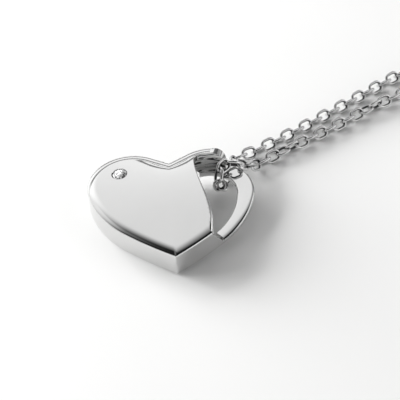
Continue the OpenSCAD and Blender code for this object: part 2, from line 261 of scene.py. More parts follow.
def opening_path():
    """Plan path of the opening: rows of x, y and the radius of the rounded edge."""
    low_y = POINT_C[1] - math.sqrt((POINT_R - LOBE_WALL) ** 2 - (CUT_LOW[0] - POINT_C[0]) ** 2)
    rows = [(CUT_LOW[0] - LOW_SLANT * (CUT_LOW[1] - y), y, SOFT_LOW)
            for y in np.linspace(low_y - LOW_BEYOND, CUT_LOW[1], LOW_STEPS)[:-1]]
    for down in np.linspace(1, 0, CREASE_STEPS):
        x = CUT_TOP[0] + (CUT_LOW[0] - CUT_TOP[0]) * (1 - math.cos(math.pi * down)) / 2
        y = CUT_TOP[1] + (CUT_LOW[1] - CUT_TOP[1]) * down
        rows.append((x, y, SOFT + (SOFT_LOW - SOFT) * share(down, SOFT_FROM, SOFT_SPAN)))
    for angle in np.radians(CORNER_ANGLES):
        rows.append((CUT_TOP[0] + CORNER_R + CORNER_R * math.cos(angle),
                     CUT_TOP[1] + CORNER_R * math.sin(angle), SOFT))
    for run in np.linspace(*LOBE_RUN, LOBE_RUN_STEPS):
        extra = THICKER * max(0, math.cos(math.pi / 2 * share(run, THICK_RUN, THICK_FADE)))
        rows.append((*side_point(run, LOBE_WALL + extra), SOFT))
    rows.append((CUT_LOW[0] + CLOSE_X, low_y - CLOSE_Y, CLOSE_SOFT))
    return np.array(rows)


def opening_cutter(surface):
    """Takes out the open lobe; surface is the skin's BVH tree, which gives the front's height."""
    rows = opening_path()
    path, soft = rows[:, :2], rows[:, 2]
    normals = path_normals(path)
    top = []
    for x, y in path:
        hit = surface.ray_cast(Vector((x, y, ABOVE)), Vector((0, 0, -1)))
        top.append(hit[0].z if hit[0] else RIM_TOP)
    top = np.array(top)
    rings = [np.c_[path, np.full(len(path), z)] for z in (BELOW, FOOT_LEVEL)]
    for angle in np.radians(ROUND_ANGLES):
        out = soft * (1 - math.cos(angle))
        rings.append(np.c_[path + out[:, None] * normals, top - soft + soft * math.sin(angle)])
    flared = path + soft[:, None] * FLARE * normals
    rings += [np.c_[flared, top + FLARE_RISE * soft], np.c_[flared, top + CLEAR]]
    return plain_object("opening", lofted(rings))


# The side wall is missing between an upper end that curls down and a lower one that runs out
# along the flank. At the upper end the cutter has a corner on either side of the wall, given
# as its shift in X, its Y and its lift, so that it follows the rim's slope.
END_LOW, END_HIGH, END_LEVELS, END_BEYOND = 0.34, 2.72, 44, 2
UPPER_X, UPPER_CURL, LOWER_X, LOWER_REACH, LOWER_POWER = 4.55, 1.65, 3.85, 2.26, 1.5
UPPER_CORNERS, RIM_SLOPE = ((-0.46, 3.2, 2.5), (0.32, 6.8, -1.1)), 0.25
FAR_X, FAR_Y = 12, (6.8, -9)
SLANT_FROM_Y, SLANT_SHIFT, SLANT_POINTS = -8, (0.04, 0.5), 11


def wall_gap_cutter():
    """Takes the side wall off between its two ends, down to the band."""
    rings = []
    for up in np.r_[np.sin(np.linspace(0, math.pi / 2, END_LEVELS)), END_BEYOND]:
        z = END_LOW + (END_HIGH - END_LOW) * up
        upper = UPPER_X + UPPER_CURL * math.sqrt(max(0, 1 - up ** 4))
        lower = LOWER_X + LOWER_REACH * (max(0, WALL_H - z) / (WALL_H - END_LOW)) ** LOWER_POWER
        rise = RIM_SLOPE * min(1, up)
        points = [(upper + shift, y, z + lift * rise) for shift, y, lift in UPPER_CORNERS]
        points += [(FAR_X, y, z) for y in FAR_Y]
        slant_x = CUT_LOW[0] + SLANT_SHIFT[0] - lower
        slant_y = CUT_LOW[1] + SLANT_SHIFT[1] - SLANT_FROM_Y
        points += [(lower + slant_x * part, SLANT_FROM_Y + slant_y * part, z)
                   for part in np.linspace(0, 1, SLANT_POINTS)]
        rings.append(np.array(points))
    return plain_object("wall_gap", lofted(rings))


# The stone sits square to the dome, which falls away towards the edge of the lobe
STONE_CENTRE = Vector((*STONE_AT, GIRDLE_Z))
STONE_LEAN, STONE_AXIS = math.radians(9), Vector((-0.516, -0.856, 0))
STONE_TILT = (Matrix.Translation(STONE_CENTRE) @ Matrix.Rotation(STONE_LEAN, 4, STONE_AXIS)
              @ Matrix.Translation(-STONE_CENTRE))
SEAT = ((0.3, -0.95), (STONE_R + 0.04, -0.1), (STONE_R + 0.04, 0.05), (STONE_R + 0.10, 0.2),
        (STONE_R + 0.14, 0.6))
SEAT_SIDES = 48


def seat_cutter():
    """Round seat of the stone, from pairs of radius and height over the girdle."""
    angles = np.linspace(0, 2 * math.pi, SEAT_SIDES, endpoint=False)
    rings = [np.c_[STONE_AT[0] + radius * np.cos(angles), STONE_AT[1] + radius * np.sin(angles),
                   np.full(SEAT_SIDES, GIRDLE_Z + height)] for radius, height in SEAT]
    bm = lofted(rings)
    bm.transform(STONE_TILT)
    return plain_object("seat", bm)


# Band: where it runs and is widest, then its section from the outer side to the inner edge,
# with the crown's width and slope and what they gain towards the lower end
BAND_RUN, BAND_STEPS, BAND_WIDEST, BAND_WIDEN, BAND_SPREAD = (1.06, 3.0), 90, 1.69, 0.45, 0.69
BAND_SIDE, BAND_FOOT, SIDE_TOP = 0.03, 0.03, 0.17
BEVEL_IN, BEVEL_W, BEVEL_SLOPE, BEVEL_SHARES = 0.24, 0.2, 0.72, np.linspace(1, 0.2, 5)
CROWN_W, CROWN_SLOPE, CROWN_WIDEN, CROWN_STEEPEN, CROWN_SHARES = 0.32, 0.2, 0.4, 0.16, np.linspace(0, 1, 7)
STEEPEN_FROM, STEEPEN_SPAN = 1.9, 0.7
INNER_EDGE = ((0.13, 0), (0.11, 0.004), (0.03, 0.044), (0.02, 0.05), (0, 0.11))


def band_width(run):
    """Width of the band: widest at the upper right, narrower to its lower end."""
    if run < BAND_WIDEST:
        return BAND_HIGH_W - BAND_WIDEN * ((BAND_WIDEST - run) / BAND_SPREAD) ** 2
    fall = (1 + math.cos(math.pi * (run - BAND_WIDEST) / (BAND_RUN[1] - BAND_WIDEST))) / 2
    return BAND_LOW_W + (BAND_HIGH_W - BAND_LOW_W) * fall


def band():
    """Thin band on the line of the outline. In section it has a straight outer side, a bevel
    that steepens outwards, a low crown that flattens inwards, and a chamfered inner edge; the
    crown is wider and steeper towards the lower end."""
    rings = []
    for run in np.linspace(*BAND_RUN, BAND_STEPS):
        width = band_width(run)
        low = share(run, STEEPEN_FROM, STEEPEN_SPAN)
        reach, slope = CROWN_W + CROWN_WIDEN * low, CROWN_SLOPE + CROWN_STEEPEN * low
        drop = slope * (reach - BEVEL_IN) / 2
        section = [(BAND_SIDE, BAND_FOOT), (BAND_SIDE, BAND_H - drop - SIDE_TOP)]
        for out in BEVEL_SHARES:
            fall = BEVEL_W * (slope * out + (BEVEL_SLOPE - slope) / 2 * out ** 2)
            section.append((BEVEL_IN - BEVEL_W * out, BAND_H - drop - fall))
        for inward in CROWN_SHARES:
            section.append((BEVEL_IN + (reach - BEVEL_IN) * inward, BAND_H - drop * (1 - inward) ** 2))
        section += [(width - inset, BAND_H - depth) for inset, depth in INNER_EDGE]
        section.append((width, BAND_FOOT))
        rings.append(np.array([(*side_point(run, inset), z) for inset, z in section]))
    return lofted(rings)


# The heart leans on the chain under its open lobe, its lowest edge on the table. It is a
# hair smaller than the solid, so that its fine rounding stays inside the solid's box.
LEAN_N = np.array((math.cos(LEAN_DIR), math.sin(LEAN_DIR)))
HEART_Z = math.sin(LEAN) * float((-(outline(0) @ LEAN_N)).max())
LEAN_AXIS = Vector((LEAN_N[1], -LEAN_N[0], 0))
LAID = Matrix.Translation((0, 0, HEART_Z)) @ Matrix.Rotation(LEAN, 4, LEAN_AXIS)
HAIR_SMALLER = 0.9996

# Limits for the rough inside faces, whose colour carries painted reflection streaks: how far a
# face of the wall looks into the lobe and to the right, where it lies, and how far a face of
# the plate looks down and where it lies
WALL_LOOKS_IN, WALL_LOOKS_RIGHT, WALL_FROM_Y = -2, 0.6, 2.4
PLATE_LOOKS_UP, PLATE_FROM_Z = -0.3, 1.5


def gets_painted_reflections(face):
    """Whether a face is left rough as cast and painted with dark and bright reflection streaks:
    the upper part of the wall's inside round the open lobe, above the band, and the plate's underside."""
    middle, normal = face.calc_center_median(), face.normal
    facing = normal.x * (middle.x - LOBE_C[0]) + normal.y * (middle.y - LOBE_C[1])
    upper_wall = middle.y > WALL_FROM_Y and middle.z > BAND_H
    in_lobe = facing < WALL_LOOKS_IN and normal.x < WALL_LOOKS_RIGHT and upper_wall
    return in_lobe or (normal.z < PLATE_LOOKS_UP and middle.z > PLATE_FROM_Z)


def make_heart():
    """Skin, cut open and with the stone's seat, and the band that closes the open lobe."""
    skin = heart_skin()
    surface = BVHTree.FromBMesh(skin)
    body = plain_object("body", skin)
    cut_away(body, [opening_cutter(surface), wall_gap_cutter(), seat_cutter()])
    bm = bmesh.new()
    for piece in (body, plain_object("band", band())):
        bm.from_mesh(piece.data)
        bpy.data.objects.remove(piece)
    # Faces of the rough inside take the second material, whose colour holds painted reflections
    for face in bm.faces:
        face.material_index = int(gets_painted_reflections(face))
    return smooth_object("Heart", bm, LAID @ Matrix.Scale(HAIR_SMALLER, 4), sharp=0.5)


heart = make_heart()
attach(heart, "root")
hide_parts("heart")

# Stone: radii as shares of its own, heights from the girdle
TABLE_R, TABLE_Z, STAR_R, STAR_Z = 0.55, 0.24, 0.79, 0.15
GIRDLE_TOP, GIRDLE_FOOT, LOW_R, LOW_Z, CULET_Z = 0.02, -0.03, 0.42, -0.4, -0.68
STONE_TURN, HALF_FACET = math.radians(11), 22.5


def stone_ring(radius, z, count=8, start=0.0):
    """Points of a regular polygon, its first one turned by start degrees."""
    angles = [math.radians(360 / count * corner + start) for corner in range(count)]
    return [Vector((radius * math.cos(angle), radius * math.sin(angle), z)) for angle in angles]


def make_stone():
    """Round brilliant: table, star, kite and girdle facets, pavilion to a point."""
    points = stone_ring(TABLE_R * STONE_R, TABLE_Z) + stone_ring(STAR_R * STONE_R, STAR_Z, start=HALF_FACET)
    points += stone_ring(STONE_R, GIRDLE_TOP, 16) + stone_ring(STONE_R, GIRDLE_FOOT, 16)
    points += stone_ring(LOW_R * STONE_R, LOW_Z, start=HALF_FACET) + [Vector((0, 0, CULET_Z))]
    bm = bmesh.new()
    bmesh.ops.convex_hull(bm, input=[bm.verts.new(point) for point in points])
    bmesh.ops.dissolve_limit(bm, angle_limit=0.01, verts=bm.verts, edges=bm.edges)
    place = LAID @ STONE_TILT @ Matrix.Translation(STONE_CENTRE) @ Matrix.Rotation(STONE_TURN, 4, "Z")
    obj = smooth_object("Stone", bm, place, sharp=0.02)
    obj.data.shade_flat()
    return obj


stone = make_stone()
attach(stone, "root")
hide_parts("stone")

# Cable links, and the shown chain's route: in over the band, down through the open lobe and
# out again under it
LINK_L, LINK_W, WIRE, PITCH = 2.0, 1.48, 0.33, 1.34
CHAIN_Z = 0.58
ROUTE = [(28.9, 19.1, CHAIN_Z), (26.2, 17.4, 0.6), (23.9, 15.96, 0.74), (21.6, 14.5, 0.62),
         (19.3, 12.96, CHAIN_Z), (16.2, 10.9, 0.62), (13.9, 9.4, 0.74), (11.6, 7.96, 0.62),
         (9.58, 6.5, 0.62), (8.64, 5.4, 1.56), (7.52, 4.36, 2.66), (5.68, 3.96, 3.22),
         (5.0, 2.36, 2.66), (5.26, 2.34, 1.1), (5.78, 3.74, 0.68), (6.92, 5.6, 0.8),
         (7.3, 7.52, 0.9), (9.0, 8.5, 0.6), (10.9, 9.76, CHAIN_Z), (13.1, 11.16, CHAIN_Z),
         (17.56, 14.3, CHAIN_Z), (22.0, 17.56, CHAIN_Z), (26.4, 20.8, CHAIN_Z), (30.0, 23.4, CHAIN_Z)]
ROUTE_STEPS = 12
FRONT_SIDES, BACK_SIDES = (24, 10), (14, 6)

# Numbers of the links that turn over, twice along the way in, and of those in the open lobe
# with their own rolls in degrees
FIRST_TURN, SECOND_TURN = range(3, 7), range(13, 16)
IN_LOBE, LOBE_ROLLS = range(17, 26), (43, -45, 64, -46, 36, -71, 17, 106, -20)
ROLL, TURN_STEP = 45, 60


def front_roll(link):
    """Roll in degrees of a shown link about its own length, square to its neighbours."""
    if link in FIRST_TURN:
        return ROLL - TURN_STEP * (link - FIRST_TURN.start)
    if link in SECOND_TURN:
        return ROLL - TURN_STEP * (link - SECOND_TURN.start + 1)
    if link in IN_LOBE:
        return LOBE_ROLLS[link - IN_LOBE.start]
    even = -ROLL if link < FIRST_TURN.start or link == SECOND_TURN.stop else ROLL
    return -even if link % 2 else even


def curve(route):
    """Smooth curve through a route's points."""
    way = np.array(route, float)
    ends = np.vstack([2 * way[0] - way[1], way, 2 * way[-1] - way[-2]])
    a, b, c, d = ends[:-3, None], ends[1:-2, None], ends[2:-1, None], ends[3:, None]
    t = (np.arange(ROUTE_STEPS) / ROUTE_STEPS)[None, :, None]
    points = 0.5 * (2 * b + (c - a) * t + (2 * a - 5 * b + 4 * c - d) * t ** 2
                    + (3 * b - a - 3 * c + d) * t ** 3)
    return np.vstack([points.reshape(-1, 3), way[-1:]])


def walk(path, step):
    """Points along a path, each a straight step from the one before."""
    found, here, i = [path[0]], path[0], 0
    while i < len(path) - 1:
        ahead = path[i + 1] - here
        if ahead @ ahead < step * step:
            i += 1
            continue
        leg, back = path[i + 1] - path[i], path[i] - here
        square, cross = leg @ leg, leg @ back
        root = math.sqrt(cross * cross - square * (back @ back - step * step))
        here = path[i] + leg * (-cross + root) / square
        found.append(here)
    return np.array(found)


def link_form(sides, wire_sides):
    """One stadium-shaped link about the origin, long way on X, flat in XY; its attribute
    inside is 0 on the outer half of the wire and 1 where it faces into the link, where the wire's colour gets
    painted shade."""
    bend, straight = (LINK_W - WIRE) / 2, (LINK_L - LINK_W) / 2
    bm = bmesh.new()
    start = Matrix.Rotation(math.pi / sides, 4, "Z") @ Matrix.Translation((0, -bend, 0))
    bmesh.ops.create_circle(bm, segments=wire_sides, radius=WIRE / 2,
                            matrix=start @ Matrix.Rotation(math.pi / 2, 4, "Y"))
    bmesh.ops.spin(bm, geom=[*bm.verts, *bm.edges], axis=(0, 0, 1), cent=(0, 0, 0), angle=2 * math.pi,
                   steps=sides, use_merge=True)
    bmesh.ops.remove_doubles(bm, verts=bm.verts, dist=1e-4)
    inside = bm.verts.layers.float.new("inside")
    for vert in bm.verts:
        vert[inside] = share(bend - math.hypot(vert.co.x, vert.co.y), 0, WIRE / 2)
        vert.co.x += math.copysign(straight, vert.co.x)
    bmesh.ops.recalc_face_normals(bm, faces=bm.faces)
    mesh = bpy.data.meshes.new("link")
    bm.to_mesh(mesh)
    bm.free()
    return mesh


def place_links(name, frames, link):
    """One object of many links; frames holds each one's centre, direction and normal."""
    bm = bmesh.new()
    for centre, way, normal in frames:
        place = Matrix((Vector(way), Vector(np.cross(normal, way)), Vector(normal))).transposed().to_4x4()
        place.translation = Vector(centre)
        before = len(bm.verts)
        bm.from_mesh(link)
        bm.verts.ensure_lookup_table()
        bmesh.ops.transform(bm, matrix=place, verts=bm.verts[before:])
    bm.transform(TO_ROW)
    obj = to_object(name, bm)
    obj.data.shade_smooth()
    return obj


# Rolls count from the level direction square to the two strands
STRANDS_DIR = math.radians(35)
ACROSS = np.array((*outward(STRANDS_DIR), 0))


def front_frames(joints):
    """Centre, direction and normal of each shown link."""
    frames = []
    for link in range(len(joints) - 1):
        way = unit(joints[link + 1] - joints[link])
        level = unit(ACROSS - (ACROSS @ way) * way)
        roll = math.radians(front_roll(link))
        normal = math.cos(roll) * level + math.sin(roll) * np.cross(way, level)
        frames.append(((joints[link] + joints[link + 1]) / 2, way, normal))
    return frames


front_joints = walk(curve(ROUTE), PITCH)
front = front_frames(front_joints)
chain_front = place_links("Chain_front", front, link_form(*FRONT_SIDES))
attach(chain_front, "root")
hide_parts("chain_front")

# The rest of the chain: each strand eases off on an arc to one large circle, which runs a
# little inside the solid's and ends at the clasp, a ring with an eye
LOOP_DIR, LOOP_C, LOOP_R, LOOP_INSET = math.radians(34.2), np.array((105.0, 72.5)), 45.0, 0.04
ARC_POINTS, LOOP_POINTS = 160, 400
CLASP_R, CLASP_WIRE, CLASP_Z = 2.6, 0.76, 0.76
EYE_R, EYE_WIRE, EYE_AT = 0.95, 0.6, 3.4
CLASP_SPAN = CLASP_R + EYE_AT + EYE_R
CLASP_HALF_ANGLE = CLASP_SPAN / 2 / LOOP_R
HOOK_GAP, HOOK_LINKS, END_ROLLS = 0.06, 5, (0, -90, -30, -75)


def around(centre, radius, angles):
    """Points of a circle in plan."""
    return [centre + radius * np.array((math.cos(angle), math.sin(angle))) for angle in angles]


def strand(joint, beyond, side, stop):
    """Path of one hidden strand from a joint, straight on from beyond, to the clasp's end at
    the angle stop from its middle; side is 1 or -1 for the side that it bends to."""
    start = joint[:2]
    way = unit(joint[:2] - beyond[:2])
    normal = side * np.array((-way[1], way[0]))
    gap = LOOP_C - start
    radius = (gap @ gap - LOOP_R ** 2) / (2 * (LOOP_R + gap @ normal))
    centre = start + radius * normal
    meet = LOOP_C + LOOP_R * unit(centre - LOOP_C)
    arc_from, arc_to = math.atan2(*(start - centre)[::-1]), math.atan2(*(meet - centre)[::-1])
    turn = side * ((side * (arc_to - arc_from)) % (2 * math.pi))
    loop_from, loop_to = math.atan2(*(meet - LOOP_C)[::-1]), LOOP_DIR + stop
    swing = -side * ((-side * (loop_to - loop_from)) % (2 * math.pi))
    points = around(centre, radius, arc_from + turn * np.linspace(0, 1, ARC_POINTS))
    points += around(LOOP_C, LOOP_R - LOOP_INSET, loop_from + swing * np.linspace(0, 1, LOOP_POINTS)[1:])
    return np.array([(x, y, CHAIN_Z) for x, y in points])


def distances(path):
    """Distance along a path of each of its points."""
    return np.r_[0, np.cumsum(np.linalg.norm(np.diff(path, axis=0), axis=1))]


def points_at(path, wanted):
    """Points of a path at wanted distances along it."""
    return np.array([np.interp(wanted, distances(path), path[:, axis]) for axis in range(3)]).T


def hooked(path, wire):
    """Cuts the path so that the last link's middle lies outside the clasp wire it goes round."""
    reach = (LINK_L / 2 - WIRE - wire / 2 - HOOK_GAP) - PITCH / 2
    gone = distances(path)
    end = gone[-1] - reach
    return points_at(path, np.r_[gone[gone < end], end])


def even_links(path, normal):
    """Frames of a whole number of links along a path; they lie square to each other from
    normal on, and the last ones rise and turn to hook the clasp."""
    length = distances(path)[-1]
    count = round(length / PITCH)
    joints = points_at(path, np.linspace(0, length, count + 1))
    rise = np.clip(1 - (count - 1 - np.arange(count + 1)) / HOOK_LINKS, 0, 1)
    joints[:, 2] += (CLASP_Z - CHAIN_Z) * rise
    frames = []
    for link in range(count):
        way = unit(joints[link + 1] - joints[link])
        level = unit(np.cross((0, 0, 1), way))
        upright = np.cross(way, level)
        left = count - 1 - link
        rolls = END_ROLLS[left:left + 1] or (ROLL, -ROLL)
        choices = [math.cos(roll) * level + math.sin(roll) * upright for roll in map(math.radians, rolls)]
        normal = min(choices, key=lambda choice: abs(choice @ normal))
        frames.append(((joints[link] + joints[link + 1]) / 2, way, normal))
    return frames


# The last link's far end lies inside the clasp's ring on one strand and its eye on the other
to_ring = strand(front_joints[0], front_joints[1], -1, -CLASP_HALF_ANGLE)
to_eye = strand(front_joints[-1], front_joints[-2], 1, CLASP_HALF_ANGLE)
back = even_links(hooked(to_ring, CLASP_WIRE), front[0][2])
back += even_links(hooked(to_eye, EYE_WIRE), front[-1][2])
chain_back = place_links("Chain_back", back, link_form(*BACK_SIDES))
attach(chain_back, "root")
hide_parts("chain_back")

# Clasp: ring, eye and the nub of its lever, with two fine collars where the ring closes
NUB_ANGLE, NUB_L, NUB_R, NUB_SIDES, NUB_ROUND = 60, 1.0, 0.25, 20, 0.07
COLLAR_ANGLES, COLLAR_W, COLLAR_SIDES, COLLAR_LESS = (84, 100), 0.12, 28, 0.004
RING_SIDES, EYE_SIDES = (72, 20), (40, 16)


def once_each(items):
    """Items without repeats, in the order of their first place."""
    return list(dict.fromkeys(items))


def torus(bm, radius, wire, at, sides):
    """Wire ring in XY about (at, 0); sides counts round the ring and round the wire."""
    before = set(bm.verts)
    start = Matrix.Translation((at + radius, 0, 0)) @ Matrix.Rotation(math.pi / 2, 4, "X")
    bmesh.ops.create_circle(bm, segments=sides[1], radius=wire / 2, matrix=start)
    new = [vert for vert in bm.verts if vert not in before]
    edges = once_each(edge for vert in new for edge in vert.link_edges)
    bmesh.ops.spin(bm, geom=new + edges, axis=(0, 0, 1), cent=(at, 0, 0), angle=2 * math.pi,
                   steps=sides[0], use_merge=True)


def rod(bm, angle, out, axis, radius, length, sides):
    """Round rod on the ring at an angle in degrees and a distance out; axis turns its length."""
    place = (Matrix.Rotation(math.radians(angle), 4, "Z") @ Matrix.Translation((out, 0, 0))
             @ Matrix.Rotation(math.pi / 2, 4, axis))
    return bmesh.ops.create_cone(bm, cap_ends=True, segments=sides, radius1=radius, radius2=radius,
                                 depth=length, matrix=place)["verts"]


def make_clasp():
    """Clasp in its own place about the ring's middle, then laid on the loop's far side."""
    bm = bmesh.new()
    torus(bm, CLASP_R, CLASP_WIRE, 0, RING_SIDES)
    torus(bm, EYE_R, EYE_WIRE, -EYE_AT, EYE_SIDES)
    nub = rod(bm, NUB_ANGLE, CLASP_R + NUB_L / 2, "Y", NUB_R, NUB_L, NUB_SIDES)
    caps = [face for vert in nub for face in vert.link_faces if len(face.verts) > 4]
    rims = once_each(edge for cap in caps for edge in cap.edges)
    bmesh.ops.bevel(bm, geom=rims, offset=NUB_ROUND, segments=3, affect="EDGES", profile=0.5,
                    material=-1)
    for angle in COLLAR_ANGLES:
        rod(bm, angle, CLASP_R, "X", CLASP_WIRE / 2 - COLLAR_LESS, COLLAR_W, COLLAR_SIDES)
    bmesh.ops.remove_doubles(bm, verts=bm.verts, dist=1e-5)
    middle = (LOOP_C[0] + LOOP_R * math.cos(LOOP_DIR), LOOP_C[1] + LOOP_R * math.sin(LOOP_DIR), CLASP_Z)
    place = (Matrix.Translation(middle) @ Matrix.Rotation(LOOP_DIR - math.pi / 2, 4, "Z")
             @ Matrix.Translation((CLASP_SPAN / 2 - CLASP_R, 0, 0)))
    return smooth_object("Clasp", bm, place, sharp=0.6)


clasp = make_clasp()
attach(clasp, "root")
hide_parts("clasp")


# Materials
def new_material(name):
    """Material, its node tree and its Principled BSDF."""
    mat = bpy.data.materials.new(name)
    mat.use_nodes = True
    return mat, mat.node_tree, mat.node_tree.nodes["Principled BSDF"]


def add(tree, kind, **values):
    """New node; each value goes to the input of its name, or else to the property."""
    node = tree.nodes.new(kind)
    for name, value in values.items():
        if name in node.inputs:
            node.inputs[name].default_value = value
        else:
            setattr(node, name, value)
    return node


def object_place(tree):
    return add(tree, "ShaderNodeTexCoord").outputs["Object"]


def stepped(tree, value, start, end, low=0, high=1):
    """Smooth step of a value, low at start and high at end."""
    step = add(tree, "ShaderNodeMapRange", interpolation_type="SMOOTHSTEP")
    for name, number in zip(("From Min", "From Max", "To Min", "To Max"), (start, end, low, high)):
        step.inputs[name].default_value = number
    tree.links.new(value, step.inputs["Value"])
    return step.outputs["Result"]


def mixed(tree, amount, *ends):
    """Mix of two ends, each a colour or a socket, by an amount."""
    mix = add(tree, "ShaderNodeMix", data_type="RGBA")
    tree.links.new(amount, mix.inputs["Factor"])
    for name, end in zip("AB", ends):
        if isinstance(end, tuple):
            mix.inputs[name].default_value = (*end, 1)
        else:
            tree.links.new(end, mix.inputs[name])
    return mix.outputs["Result"]


WAVES_FINER, HAZE_FROM, HAZE_TO = 6, 0.3, 0.7


def polish_group():
    """Shared finish of the polished metals: a faint haze in tint and gloss, and fine waves."""
    group = bpy.data.node_groups.new("Polish", "ShaderNodeTree")
    for name, way, kind in (("Scale", "INPUT", "Float"), ("Gloss low", "INPUT", "Float"),
                            ("Gloss high", "INPUT", "Float"), ("Dull", "INPUT", "Color"),
                            ("Bright", "INPUT", "Color"), ("Tint", "OUTPUT", "Color"),
                            ("Roughness", "OUTPUT", "Float"), ("Waves", "OUTPUT", "Float")):
        group.interface.new_socket(name=name, in_out=way, socket_type="NodeSocket" + kind)
    given, out = add(group, "NodeGroupInput").outputs, add(group, "NodeGroupOutput").inputs
    place = object_place(group)
    haze = add(group, "ShaderNodeTexNoise", Detail=5.0, Roughness=0.6)
    waves = add(group, "ShaderNodeTexNoise", Detail=3.0)
    finer = add(group, "ShaderNodeMath", operation="MULTIPLY")
    finer.inputs[1].default_value = WAVES_FINER
    gloss = add(group, "ShaderNodeMapRange")
    gloss.inputs["From Min"].default_value = HAZE_FROM
    gloss.inputs["From Max"].default_value = HAZE_TO
    tint = mixed(group, haze.outputs["Fac"], given["Dull"], given["Bright"])
    for start, end in ((place, haze.inputs["Vector"]), (given["Scale"], haze.inputs["Scale"]),
                       (place, waves.inputs["Vector"]), (given["Scale"], finer.inputs[0]),
                       (finer.outputs[0], waves.inputs["Scale"]),
                       (haze.outputs["Fac"], gloss.inputs["Value"]),
                       (given["Gloss low"], gloss.inputs["To Min"]),
                       (given["Gloss high"], gloss.inputs["To Max"]),
                       (tint, out["Tint"]), (gloss.outputs["Result"], out["Roughness"]),
                       (waves.outputs["Fac"], out["Waves"])):
        group.links.new(start, end)
    return group


POLISH, HAZE_DULL, GLOSS_SPREAD = polish_group(), 0.97, (0.8, 1.25)


def polished(name, color, rough, scale, edge=0.0):
    """Polished white metal; edge is the radius of its finest rounded edges, in metres."""
    mat, tree, bsdf = new_material(name)
    bsdf.inputs["Metallic"].default_value = 1.0
    finish = add(tree, "ShaderNodeGroup", node_tree=POLISH)
    dull_haze_and_shade = tuple(part * HAZE_DULL for part in color)
    for socket, value in (("Scale", scale), ("Gloss low", rough * GLOSS_SPREAD[0]),
                          ("Gloss high", rough * GLOSS_SPREAD[1]), ("Dull", (*dull_haze_and_shade, 1)),
                          ("Bright", (*color, 1))):
        finish.inputs[socket].default_value = value
    tree.links.new(finish.outputs["Tint"], bsdf.inputs["Base Color"])
    tree.links.new(finish.outputs["Roughness"], bsdf.inputs["Roughness"])
    bump = add(tree, "ShaderNodeBump", Strength=0.015, Distance=0.00002)
    tree.links.new(finish.outputs["Waves"], bump.inputs["Height"])
    if edge:
        bevel = add(tree, "ShaderNodeBevel", samples=6, Radius=edge)
        tree.links.new(bevel.outputs["Normal"], bump.inputs["Normal"])
    tree.links.new(bump.outputs["Normal"], bsdf.inputs["Normal"])
    return mat


def painted_reflection_inside():
    """Inside of the heart: left rough as cast, with fine ridges that run round the wall; its colour
    is painted with near-black and near-white streaks along the ridges, which stand for reflections.
    """
    mat, tree, bsdf = new_material("Heart_inside")
    bsdf.inputs["Metallic"].default_value = 0.3
    bsdf.inputs["Roughness"].default_value = 0.3
    flat = add(tree, "ShaderNodeMapping", Scale=(420, 420, 3300))
    tree.links.new(object_place(tree), flat.inputs["Vector"])
    ridges = add(tree, "ShaderNodeTexNoise", Scale=1.0, Detail=2.0, Roughness=0.6, Distortion=1.2)
    tree.links.new(flat.outputs["Vector"], ridges.inputs["Vector"])
    height = ridges.outputs["Fac"]
    # Painted reflections: the ridges' noise turns the colour from near black to near white
    tint = mixed(tree, stepped(tree, height, 0.41, 0.5), (0.02, 0.02, 0.02), (1, 1, 0.99))
    tree.links.new(tint, bsdf.inputs["Base Color"])
    bump = add(tree, "ShaderNodeBump", Strength=0.6, Distance=0.00006)
    tree.links.new(height, bump.inputs["Height"])
    tree.links.new(bump.outputs["Normal"], bsdf.inputs["Normal"])
    return mat


def drawn_wire():
    """Drawn wire, polished, with painted shade: its faces that look into the links are darkened to near
    black.
    """
    mat = polished("Chain_metal", (0.71, 0.71, 0.71), rough=0.16, scale=2400)
    tree = mat.node_tree
    base = tree.nodes["Principled BSDF"].inputs["Base Color"]
    inside = add(tree, "ShaderNodeAttribute", attribute_name="inside")
    # Painted shade: near-black colour on the wire where it faces into the link
    dull_haze_and_shade = stepped(tree, inside.outputs["Fac"], 0.04, 0.7)
    tree.links.new(mixed(tree, dull_haze_and_shade, base.links[0].from_socket, (0.09, 0.09, 0.093)), base)
    return mat


def cut_stone():
    """Clear stone whose colour is painted in light and dark cells that stand for the glints of its facets."""
    mat, tree, bsdf = new_material("Stone")
    bsdf.inputs["Roughness"].default_value = 0.02
    bsdf.inputs["IOR"].default_value = 2.4
    bsdf.inputs["Transmission Weight"].default_value = 0.25
    cells = add(tree, "ShaderNodeTexVoronoi", Scale=6800.0)
    tree.links.new(object_place(tree), cells.inputs["Vector"])
    parts = add(tree, "ShaderNodeSeparateColor")
    tree.links.new(cells.outputs["Color"], parts.inputs["Color"])
    # Painted glints: the cells' colour runs from dark grey to white
    spark = stepped(tree, parts.outputs["Red"], 0.15, 0.8)
    tree.links.new(mixed(tree, spark, (0.12, 0.12, 0.125), (1, 1, 1)), bsdf.inputs["Base Color"])
    return mat


heart.data.materials.append(polished("Heart_metal", (0.76, 0.76, 0.757), rough=0.07, scale=900, edge=0.00003))
heart.data.materials.append(painted_reflection_inside())
wire_metal = drawn_wire()
chain_front.data.materials.append(wire_metal)
chain_back.data.materials.append(wire_metal)
clasp.data.materials.append(polished("Clasp_metal", (0.86, 0.86, 0.865), rough=0.1, scale=1200))
stone.data.materials.append(cut_stone())

# Table: matt white with a barely visible unevenness; half its side is in metres
TABLE_HALF = 0.5


def table_paint():
    mat, tree, bsdf = new_material("Table_paint")
    bsdf.inputs["Roughness"].default_value = 0.6
    grain = add(tree, "ShaderNodeTexNoise", Scale=30.0, Detail=2.0)
    tree.links.new(object_place(tree), grain.inputs["Vector"])
    tint = mixed(tree, grain.outputs["Fac"], (0.82, 0.82, 0.815), (0.86, 0.86, 0.855))
    tree.links.new(tint, bsdf.inputs["Base Color"])
    return mat


def make_table():
    bm = bmesh.new()
    bmesh.ops.create_grid(bm, x_segments=8, y_segments=8, size=TABLE_HALF)
    table = to_object("Table", bm)
    table.data.materials.append(table_paint())
    return table


floor = make_table()

